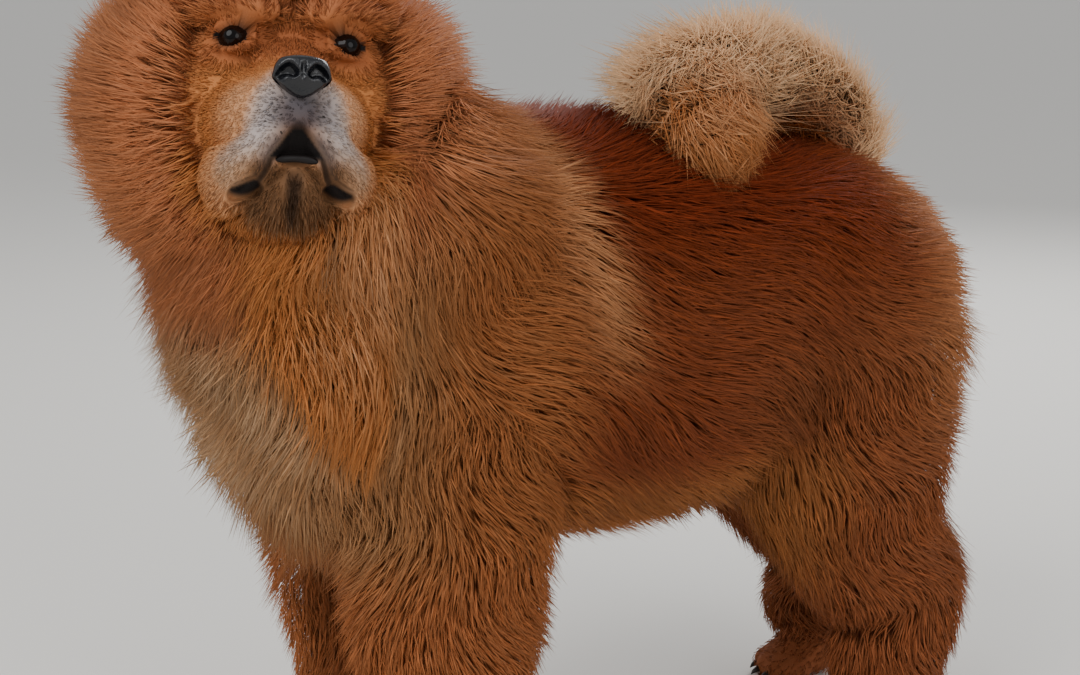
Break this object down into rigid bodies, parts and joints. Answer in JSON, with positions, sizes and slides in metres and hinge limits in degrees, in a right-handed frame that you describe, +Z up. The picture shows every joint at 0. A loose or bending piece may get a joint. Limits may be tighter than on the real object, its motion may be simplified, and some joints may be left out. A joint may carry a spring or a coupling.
{
  "type": "chow chow dog model",
  "caption": "Life-size standing chow chow with a full ruff, thick long coat, small ears, curled tail and its head turned to its left.",
  "frame": {"origin": "on the floor, at the middle of the overall length and width", "axes": "+Z up, the dog's body faces -Y, its left side is +X"},
  "size_m": [0.3778, 0.7724, 0.7208],
  "materials": {
    "coat_red": "long dense hair",
    "coat_saddle": "long dense hair",
    "coat_leg": "dense hair",
    "coat_cream": "long soft hair",
    "coat_face": "short hair",
    "nose_skin": "moist",
    "eye_wet": "wet"
  },
  "bodies": {
    "root": {"head": "coat_red", "jaw": "coat_face", "nose": "nose_skin", "tail": "coat_cream", "eye_left": "eye_wet", "eye_right": "eye_wet", "ear_left": "coat_red", "ear_right": "coat_red", "neck": "coat_red", "foreleg_left": "coat_leg", "foreleg_right": "coat_leg", "forepaw_left": "coat_leg", "forepaw_right": "coat_leg", "hindleg_left": "coat_leg", "hindleg_right": "coat_leg", "hindpaw_left": "coat_leg", "hindpaw_right": "coat_leg", "torso": "coat_saddle"}
  },
  "joints": []
}
